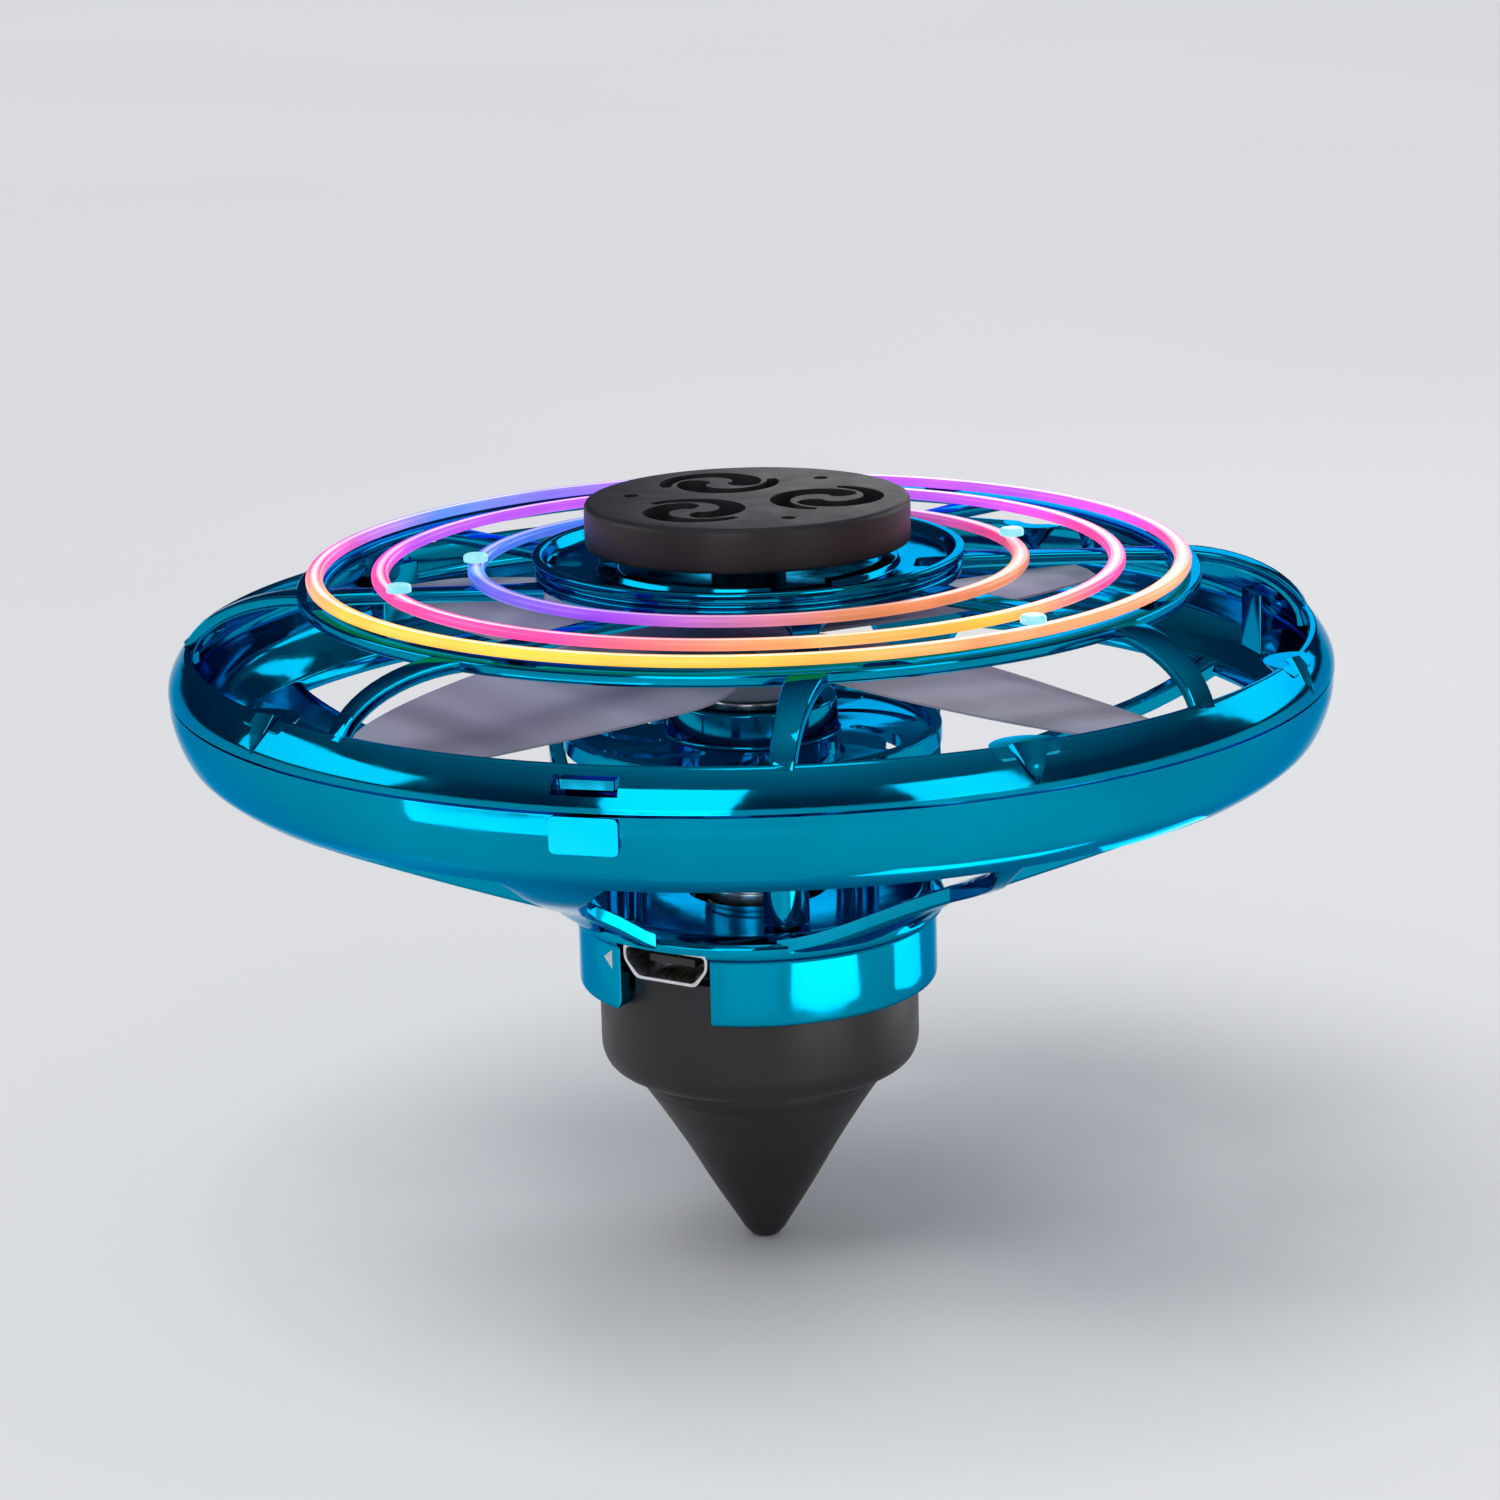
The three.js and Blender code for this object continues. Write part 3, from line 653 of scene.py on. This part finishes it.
# ---- motor deck ---------------------------------------------------------------------------
def arc_slot(radius, width, start, end, steps=14):
    """Round-ended slot along an arc about the origin, as an outline."""
    points = []
    half = width / 2

    def at(r, a):
        return r * math.cos(math.radians(a)), r * math.sin(math.radians(a))
    for k in range(steps + 1):
        points.append(at(radius + half, lerp(start, end, k / steps)))
    cx, cy = at(radius, end)
    for k in range(1, 6):
        dx, dy = at(half, end + 180 * k / 6)
        points.append((cx + dx, cy + dy))
    for k in range(steps + 1):
        points.append(at(radius - half, lerp(end, start, k / steps)))
    cx, cy = at(radius, start)
    for k in range(1, 6):
        dx, dy = at(half, start + 180 + 180 * k / 6)
        points.append((cx + dx, cy + dy))
    return points


# The vents are arcs about points set off from the axis, kept to a band round the sleeve.
VENT_AZ = [32 + 40 * k for k in range(9)]
VENT_SHIFT = 7.4
VENT_R = 6.5
VENT_WIDTH = 1.3
VENT_BAND = (7.9, 14.0)


def motor_deck():
    body = lathe("deck", rounded([
        (SLEEVE_BORE, 38.5), (7.0, 38.5), (7.0, 43.0, 0.2), (DECK_R, 43.0), (DECK_R, DECK_Z + 0.6),
        (DECK_R - 1.0, DECK_Z + 0.6), (DECK_R - 1.1, DECK_Z, 0.15), (7.1, DECK_Z, 0.3), (7.0, 47.0, 0.3),
        (SLEEVE_BORE, 47.0, 0.2)], 0.2), FINE)
    vent = [(x + VENT_SHIFT, y) for x, y in arc_slot(VENT_R, VENT_WIDTH, 34, 104)]
    inner_r, outer_r = VENT_BAND
    keep_profile = [(inner_r, 40), (outer_r, 40), (outer_r, 46), (inner_r, 46)]
    vents = []
    for azimuth in VENT_AZ:
        slot = turned_to(prism("vent", vent, 42, 45), azimuth)
        vents.append(solid_op(slot, [lathe("keep", keep_profile, ROUND)], "INTERSECT"))
    body = cut(body, vents)
    post = rounded([(1.1, 30.8), (1.9, 30.8), (1.7, 43.4), (1.1, 43.4)], 0.1)
    posts = repeated(lambda: lathe("post", post, 32), POST_AZ, (0, -POST_R, 0))
    body = join(body, posts)
    finished(body, "main_body", CHROME, ["motor_deck"])


# ---- finger cap ---------------------------------------------------------------------------
COMMA_SWEEP = 200
COMMA_TAIL_R = 4.55
COMMA_HEAD_R = 2.05
COMMA_TAIL_HALF = 0.38          # half widths
COMMA_HEAD_HALF = 1.38
COMMA_STEPS = 24
SWIRL_R = 6.6
SWIRL_ANGLES = [110, -10, 230]  # from +X, towards +Y
EYE_R = 9.6
EYE_SIZE = 0.62
CAP_POCKET_Z = 61.9


def comma(tail_angle):
    """A comma outline that curls in from a thin tail to a round head."""
    left, right = [], []
    for k in range(COMMA_STEPS + 1):
        t = k / COMMA_STEPS
        a = math.radians(tail_angle - COMMA_SWEEP * t)
        r = lerp(COMMA_TAIL_R, COMMA_HEAD_R, t ** 1.2)
        half = COMMA_TAIL_HALF + 1.0 * t ** 0.7
        left.append(((r + half) * math.cos(a), (r + half) * math.sin(a)))
        right.append(((r - half) * math.cos(a), (r - half) * math.sin(a)))
    end = math.radians(tail_angle - COMMA_SWEEP)
    cx, cy = COMMA_HEAD_R * math.cos(end), COMMA_HEAD_R * math.sin(end)
    head = []
    for k in range(1, 8):
        a = end - math.pi * k / 8
        head.append((cx + COMMA_HEAD_HALF * math.cos(a), cy + COMMA_HEAD_HALF * math.sin(a)))
    return left + head + right[::-1]


def finger_cap():
    body = lathe("finger_cap_shell", rounded([
        (0, CAP_TOP_Z), (CAP_R, CAP_TOP_Z, 0.55), (CAP_R, CAP_BOTTOM_Z, 0.3),
        (CAP_R - 1.2, CAP_BOTTOM_Z, 0.2),
        (CAP_R - 1.2, 62.2, 0.3), (2.7, 62.2, 0.2), (2.7, 60.2, 0.2), (1.65, 60.2), (1.65, 62.5),
        (0, 62.5)], 0.2), FINE)
    tools = []
    for angle in SWIRL_ANGLES:
        a = math.radians(angle)
        move = (SWIRL_R * math.cos(a), SWIRL_R * math.sin(a), 0)
        for tail in (angle + 88, angle + 268):
            tools.append(turned_to(prism("comma", comma(tail), CAP_POCKET_Z, 64.5), 0, move))
        b = math.radians(angle - 60)
        eye = lathe("eye", [(0, CAP_POCKET_Z), (EYE_SIZE, CAP_POCKET_Z), (EYE_SIZE, 64.5), (0, 64.5)], 24)
        tools.append(turned_to(eye, 0, (EYE_R * math.cos(b), EYE_R * math.sin(b), 0)))
    body = cut(body, tools)
    finished(body, "finger_cap", BLACK, ["finger_cap"], 40)
    stem = lathe("cap_stem_shell", rounded([(0, 54.6), (1.35, 54.6), (1.35, 62.2), (0, 62.2)], 0.2), SMALL)
    finished(stem, "finger_cap", STEEL, ["cap_stem"])
    bush = lathe("cap_bush_shell", rounded([(1.65, 54.9), (3.0, 54.9), (3.0, 59.4, 0.4), (1.65, 59.4)], 0.15),
                 SMALL)
    finished(bush, "main_body", BLACK, ["cap_bush"])


# ---- propeller ----------------------------------------------------------------------------
LEADING = smooth_line([(3, -4), (12, -8), (20, -9), (30, -8.4), (38, -6.4), (41.6, -3.4), (42.5, -1.2)])
TRAILING = smooth_line([(3, 4.5), (13, 8.6), (20, 8.1), (30, 5.8), (36, 4.2), (40.6, 2.4), (42.5, -0.6)])


def edge_at(line, r):
    """How far to the side a blade's edge lies at a radius."""
    for (r0, v0), (r1, v1) in zip(line, line[1:]):
        if r <= r1:
            return lerp(v0, v1, (r - r0) / (r1 - r0))
    return line[-1][1]


BLADE_STATIONS = 26
BLADE_R = (3, 42.4)
BLADE_HALF_THICK = (0.5, 0.3)
BLADE_CAMBER = 0.25


def blade():
    """One pitched blade; x runs out along it and y across it."""
    loops = []
    for k in range(BLADE_STATIONS + 1):
        r = lerp(*BLADE_R, (k / BLADE_STATIONS) ** 0.85)
        front, back = edge_at(LEADING, r), edge_at(TRAILING, r)
        pitch = math.radians(BLADE_PITCH)
        half_t = lerp(*BLADE_HALF_THICK, r / 43)
        top, bottom = [], []
        for c in range(11):
            u = c / 10
            v = lerp(front, back, u)
            ease = math.sqrt(max(0.0, 1 - (2 * u - 1) ** 8))
            camber = BLADE_CAMBER * (1 - (2 * u - 1) ** 2)
            for side, row in ((1, top), (-1, bottom)):
                w = side * half_t * max(ease, 0.25) + camber
                y = v * math.cos(pitch) + w * math.sin(pitch)
                z = -v * math.sin(pitch) + w * math.cos(pitch)
                row.append((r, y, BLADE_Z - BLADE_FALL * r + z))
        loops.append(top + bottom[::-1])
    return loft("blade", loops)


def propeller():
    hub = lathe("propeller_blades", rounded([
        (0.9, 48.4), (2.4, 48.4), (2.4, 47.7), (6.0, 47.7, 0.3), (6.0, 51.6, 0.8), (4.8, 52.4, 0.5),
        (0, 52.4),
        (0, 51.6), (0.9, 51.6)], 0.1), 96)
    blades = [turned_to(blade(), BLADE_AZ - 90 + a) for a in QUARTERS]
    body = join(hub, blades)
    finished(body, "propeller", GREY, ["propeller"])


# ---- motor --------------------------------------------------------------------------------
MOTOR_R = 4.25


def motor():
    can = lathe("motor_can_shell", rounded([
        (0, 29.8), (MOTOR_R, 29.8, 0.3), (MOTOR_R, 31.0, 0.1), (4.12, 31.1, 0.05), (4.12, 31.4, 0.05),
        (MOTOR_R, 31.5, 0.1), (MOTOR_R, 47.4, 0.5), (1.6, 47.4), (1.6, 48.0), (0.9, 48.0), (0.9, 45.9),
        (0, 45.9)], 0.15), 64)
    finished(can, "main_body", STEEL, ["motor_can"])


# ---- base and cone ------------------------------------------------------------------------
def base():
    inner = BASE_R - 1.2
    body = lathe("base_cup", rounded([
        (3.0, BASE_BOTTOM_Z), (11.4, BASE_BOTTOM_Z, 1.0), (12.75, 16.1, 1.0), (BASE_R, 17.3, 1.2),
        (BASE_R, 24.6),
        (inner, 24.6), (inner, 17.2, 0.6), (11.4, 16.9), (3.0, 16.9)], 0.2), FINE)
    tongue = lathe("tongue", rounded([(inner, 23.9), (BASE_R, 23.9), (BASE_R, 26.0), (inner, 26.0)], 0.15),
                   FINE)
    limit = turned_to(block("limit", (-4.0, 4.0), (-16, -8), (20, 30), 0.1), PORT_AZ)
    tongue = solid_op(tongue, [limit], "INTERSECT")
    boss = [(0, 16.2), (2.4, 16.2), (2.4, 24.6), (0, 24.6)]
    bosses = repeated(lambda: lathe("boss", boss, 32), BASE_SCREW_AZ, (0, -BASE_SCREW_R, 0))
    sink = [(0, 15), (1.8, 15), (1.8, 17.2), (1.1, 17.2), (1.1, 25), (0, 25)]
    sinks = repeated(lambda: lathe("sink", sink, 32), BASE_SCREW_AZ, (0, -BASE_SCREW_R, 0))
    body = cut(join(body, tongue, bosses), sinks)
    finished(body, "main_body", BLACK, ["base_cover"])
    sides = smooth_line([(2.1, 1.35), (4.35, 5.0), (6.6, 8.9), (8.75, 12.3), (9.9, 14.0)], 4)
    cone = lathe("cone_shell", [(0, 0), (0.9, 0.02), (1.35, 0.28), (1.75, 0.75)] + sides + rounded([
        (10.15, 14.5), (10.2, CONE_TOP_Z), (1.3, CONE_TOP_Z), (1.3, 8)], 0.2)[:-5] + [(1.3, 8), (0, 8)], FINE)
    finished(cone, "cone_tip", BLACK, ["spinning_tip"], 40)


# ---- charging port and switch -------------------------------------------------------------
def port_outline(half_width, top, low, y):
    """The port's section at one depth: a flat top and bevelled lower corners."""
    corners = [(-half_width, top), (-half_width, 0.1), (-half_width + 1.15, low), (half_width - 1.15, low),
               (half_width, 0.1), (half_width, top)]
    return [(x, y, PORT_Z + z) for x, z in ring_of(corners, 0.4)]


def charging_port():
    """A flared metal mouth with a black tongue and its contacts."""
    flare = loft("port_mouth", [port_outline(4.0, 1.38, -1.42, -14.2), port_outline(3.9, 1.36, -1.3, -13.8),
                                port_outline(3.72, 1.3, -1.12, -13.0), port_outline(3.7, 1.3, -1.12, -9.0)])
    hollow = loft("hollow", [port_outline(3.85, 1.22, -1.28, -14.6), port_outline(3.7, 1.1, -1.1, -13.9),
                             port_outline(3.45, 1.0, -0.86, -13.0), port_outline(3.4, 1.0, -0.86, -9.6)])
    body = turned_to(cut(flare, hollow), PORT_AZ)
    finished(body, "main_body", STEEL, ["usb_shell"])
    tongue = block("port_tongue", (-2.2, 2.2), (-13.2, -9.9), (PORT_Z - 0.1, PORT_Z + 0.5), 0.2)
    tongue = turned_to(tongue, PORT_AZ)
    finished(tongue, "main_body", PORT_BLACK, ["usb_tongue"])
    strips = [block("contact", (x - 0.16, x + 0.16), (-13.0, -10.2), (PORT_Z - 0.16, PORT_Z - 0.1), 0.03)
              for x in (-1.3, -0.65, 0.0, 0.65, 1.3)]
    contacts = turned_to(join(strips[0], strips[1:]), PORT_AZ)
    contacts.name = "port_contacts"
    finished(contacts, "main_body", BRASS)
    # A plain arrowhead printed beside the port.
    inner_r, outer_r = SKIRT_R - 0.2, SKIRT_R + 0.02
    skin = lathe("skin", [(inner_r, 24), (outer_r, 24), (outer_r, 28.5), (inner_r, 28.5)], FINE)
    mark = turned_to(upright("port_mark", [(-5.3, 26.5), (-5.3, 28.1), (-6.4, 27.3)], -17, -10), PORT_AZ)
    mark = solid_op(mark, [skin], "INTERSECT")
    mark.name = "port_mark"
    finished(mark, "main_body", WHITE)


def power_switch():
    """The slide switch's ribbed nub."""
    nub = block("switch_nub", (-1.9, 0.1), (-15.4, -11.7), (26.7, 27.9), 0.25)
    grooves = [block("groove", (x - 0.12, x + 0.12), (-15.8, -15.2), (26, 29), 0.05)
               for x in (-1.4, -0.9, -0.4)]
    nub = turned_to(cut(nub, grooves), SWITCH_AZ)
    finished(nub, "switch", BLACK, ["switch_slider"])


# ---- lights -------------------------------------------------------------------------------
def lights():
    """Three light guides on the upper arms and four LEDs on them."""
    for name, radius in LIGHT_RINGS.items():
        half = LIGHT_WIDTH / 2
        ring = lathe("light_guide_" + name, rounded([
            (radius - half, LIGHT_Z), (radius + half, LIGHT_Z), (radius + half, LIGHT_Z + LIGHT_HEIGHT),
            (radius - half, LIGHT_Z + LIGHT_HEIGHT)], 0.35, 6), FINE)
        finished(ring, "main_body", LIGHTS[name], ["light_ring_" + name])
    bottom = LIGHT_Z + LIGHT_HEIGHT + 0.3
    for i, (azimuth, radius) in enumerate(LED_PLACES):
        top = bottom + 0.6
        dome = rounded([(0, bottom), (1.0, bottom, 0.05), (1.0, top, 0.45), (0, top)], 0.05, 6)
        lens = lathe("led_lens_%d" % (i + 1), dome, 32)
        turned_to(lens, azimuth, (0, -radius, 0))
        finished(lens, "main_body", LED, ["led_%d" % (i + 1)])


# ---- frame nodes that stay ----------------------------------------------------------------
def dress_frame_nodes():
    """Materials for the CAD nodes that are shown as they are."""
    looks = {
        "cap_retainer": STEEL, "motor_shaft": STEEL, "motor_end_cap": NYLON, "motor_sleeve": RUBBER,
        "main_board": BOARD, "switch_body": PORT_BLACK, "control_chip": PORT_BLACK, "battery": FOIL,
        "motor_wire_red": WIRE_RED, "battery_wire_red": WIRE_RED, "motor_wire_black": WIRE_BLACK,
        "battery_wire_black": WIRE_BLACK, "tip_bush": BRASS, "tip_spindle": STEEL,
    }
    for kind in ("deck_screw", "base_screw"):
        for k in (1, 2, 3):
            looks["%s_%d" % (kind, k)] = STEEL
    for name, material in looks.items():
        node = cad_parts[name]
        node.data.materials.clear()
        node.data.materials.append(material)


# ---- stage --------------------------------------------------------------------------------
FLOOR_REACH = 12.0              # metres from the middle to each side


def stage():
    reach = FLOOR_REACH / MM
    corners = [(x * reach, y * reach, 0) for x, y in ((-1, -1), (1, -1), (1, 1), (-1, 1))]
    floor = new_piece("floor", corners, [[0, 1, 2, 3]])
    n = Nodes("floor")
    tone = n.ramp(n.noise(3, 2), [(0.3, (0.66, 0.665, 0.67)), (0.7, (0.69, 0.69, 0.69))])
    n.link(tone, n.shader.inputs["Base Color"])
    n.set(Roughness=0.7)
    # From below the floor is clear, so that the underside can be seen.
    output = n.tree.nodes["Material Output"]
    clear = n.add("ShaderNodeBsdfTransparent")
    choose = n.add("ShaderNodeMixShader")
    n.link(n.add("ShaderNodeNewGeometry").outputs["Backfacing"], choose.inputs[0])
    n.link(n.shader.outputs[0], choose.inputs[1])
    n.link(clear.outputs[0], choose.inputs[2])
    n.link(choose.outputs[0], output.inputs["Surface"])
    floor.data.materials.append(n.material)


SKY_STRENGTH = 0.6


def studio():
    """Even pale light for the eye and for matt surfaces, and a darker sky for mirrors to reflect."""
    world = bpy.data.worlds.new("studio")
    bpy.context.scene.world = world
    world.use_nodes = True
    tree = world.node_tree
    even = tree.nodes["Background"]
    even.inputs["Color"].default_value = (0.93, 0.95, 1.0, 1)
    even.inputs["Strength"].default_value = SKY_STRENGTH
    mirrored = tree.nodes.new("ShaderNodeBackground")
    place = tree.nodes.new("ShaderNodeTexCoord")
    split = tree.nodes.new("ShaderNodeSeparateXYZ")
    ramp = tree.nodes.new("ShaderNodeValToRGB")
    stops = [(0.0, (0.30, 0.32, 0.36)), (0.02, (0.03, 0.04, 0.07)), (0.45, (0.05, 0.06, 0.10)),
             (0.80, (0.22, 0.24, 0.30)), (1.0, (0.40, 0.42, 0.46))]
    fill_ramp(ramp.color_ramp, stops)
    paths = tree.nodes.new("ShaderNodeLightPath")
    choose = tree.nodes.new("ShaderNodeMixShader")
    tree.links.new(place.outputs["Generated"], split.inputs["Vector"])
    tree.links.new(split.outputs["Z"], ramp.inputs["Fac"])
    tree.links.new(ramp.outputs["Color"], mirrored.inputs["Color"])
    tree.links.new(paths.outputs["Is Glossy Ray"], choose.inputs[0])
    tree.links.new(even.outputs[0], choose.inputs[1])
    tree.links.new(mirrored.outputs[0], choose.inputs[2])
    tree.links.new(choose.outputs[0], tree.nodes["World Output"].inputs["Surface"])


LIT_POINT = Vector((0, 0, 0.050))


def reflector(name, azimuth, elevation, distance, size, glow):
    """A softbox that only shows as a reflection, aimed at the object from an azimuth and elevation."""
    data = bpy.data.lights.new(name, "AREA")
    data.shape = "RECTANGLE"
    data.size, data.size_y = size
    data.energy = glow * math.pi * size[0] * size[1]
    lamp = bpy.data.objects.new(name, data)
    turn, lift = math.radians(azimuth), math.radians(elevation)
    aim = Vector((math.sin(turn) * math.cos(lift), -math.cos(turn) * math.cos(lift), math.sin(lift)))
    lamp.location = LIT_POINT + aim * distance
    lamp.rotation_mode = "QUATERNION"
    lamp.rotation_quaternion = aim.to_track_quat("Z", "Y")
    lamp.visible_camera = False
    lamp.visible_diffuse = False
    bpy.context.scene.collection.objects.link(lamp)


# Name, azimuth, elevation, distance, width and height in metres, and brightness in a mirror.
# The dark ones stand in front of the floor, so that the chrome has dark bands too.
REFLECTORS = [
    ("front_left", -15, 18, 0.32, (0.13, 0.24), 2.6),
    ("front_right", 38, 16, 0.32, (0.12, 0.20), 2.2),
    ("left", -88, 16, 0.34, (0.26, 0.14), 2.0),
    ("right", 122, 18, 0.34, (0.22, 0.16), 2.0),
    ("top", 20, 78, 0.45, (0.16, 0.10), 1.6),
    ("back", 168, 14, 0.45, (0.20, 0.12), 1.6),
    ("low_left", -36, -13, 0.091, (0.052, 0.018), 1.8),
    ("low_front_dark", -6, -13, 0.090, (0.044, 0.012), 0.04),
    ("skirt_bright", 36, -38, 0.051, (0.026, 0.013), 2.6),
    ("skirt_dark", 68, -38, 0.051, (0.015, 0.013), 0.02),
    ("skirt_side", 95, -38, 0.051, (0.018, 0.013), 2.2),
    ("skirt_front_dark", -4, -38, 0.051, (0.018, 0.013), 0.12),
    ("skirt_left_dark", -78, -38, 0.051, (0.05, 0.013), 0.10),
]
SUN_STRENGTH = 1.95
SUN_SPREAD = 40
SUN_TILT = (14, -16)


def lighting():
    for row in REFLECTORS:
        reflector(*row)
    sun = bpy.data.lights.new("even", "SUN")
    sun.energy = SUN_STRENGTH
    sun.angle = math.radians(SUN_SPREAD)
    lamp = bpy.data.objects.new("even", sun)
    lamp.rotation_euler = (math.radians(SUN_TILT[0]), math.radians(SUN_TILT[1]), 0)
    lamp.visible_glossy = False
    bpy.context.scene.collection.objects.link(lamp)
    bpy.context.scene.view_settings.view_transform = "Standard"


# The photograph's viewpoint: metres and degrees, aimed at the middle of the rim.
CAMERA_DISTANCE = 0.3413
CAMERA_ELEVATION = 12.89
CAMERA_ROLL = 1.47
CAMERA_LENS = 100
CAMERA_SHIFT = -0.085


def camera():
    """The photograph's distance, height and tilt, closer framed."""
    focus = Vector((0, 0, RIM_Z * MM))
    e = math.radians(CAMERA_ELEVATION)
    back = Vector((0, -math.cos(e), math.sin(e)))
    data = bpy.data.cameras.new("camera")
    data.sensor_width = 36
    data.lens = CAMERA_LENS
    data.shift_y = CAMERA_SHIFT
    data.clip_start = 0.01
    view = bpy.data.objects.new("camera", data)
    view.location = focus + back * CAMERA_DISTANCE
    view.rotation_mode = "QUATERNION"
    turn = (-back).to_track_quat("-Z", "Y")
    view.rotation_quaternion = turn @ Matrix.Rotation(math.radians(-CAMERA_ROLL), 3, "Z").to_quaternion()
    bpy.context.scene.collection.objects.link(view)
    bpy.context.scene.camera = view


camera()
stage()
studio()
lighting()
upper_guard()
lower_guard()
motor_deck()
finger_cap()
propeller()
motor()
base()
charging_port()
power_switch()
lights()
dress_frame_nodes()
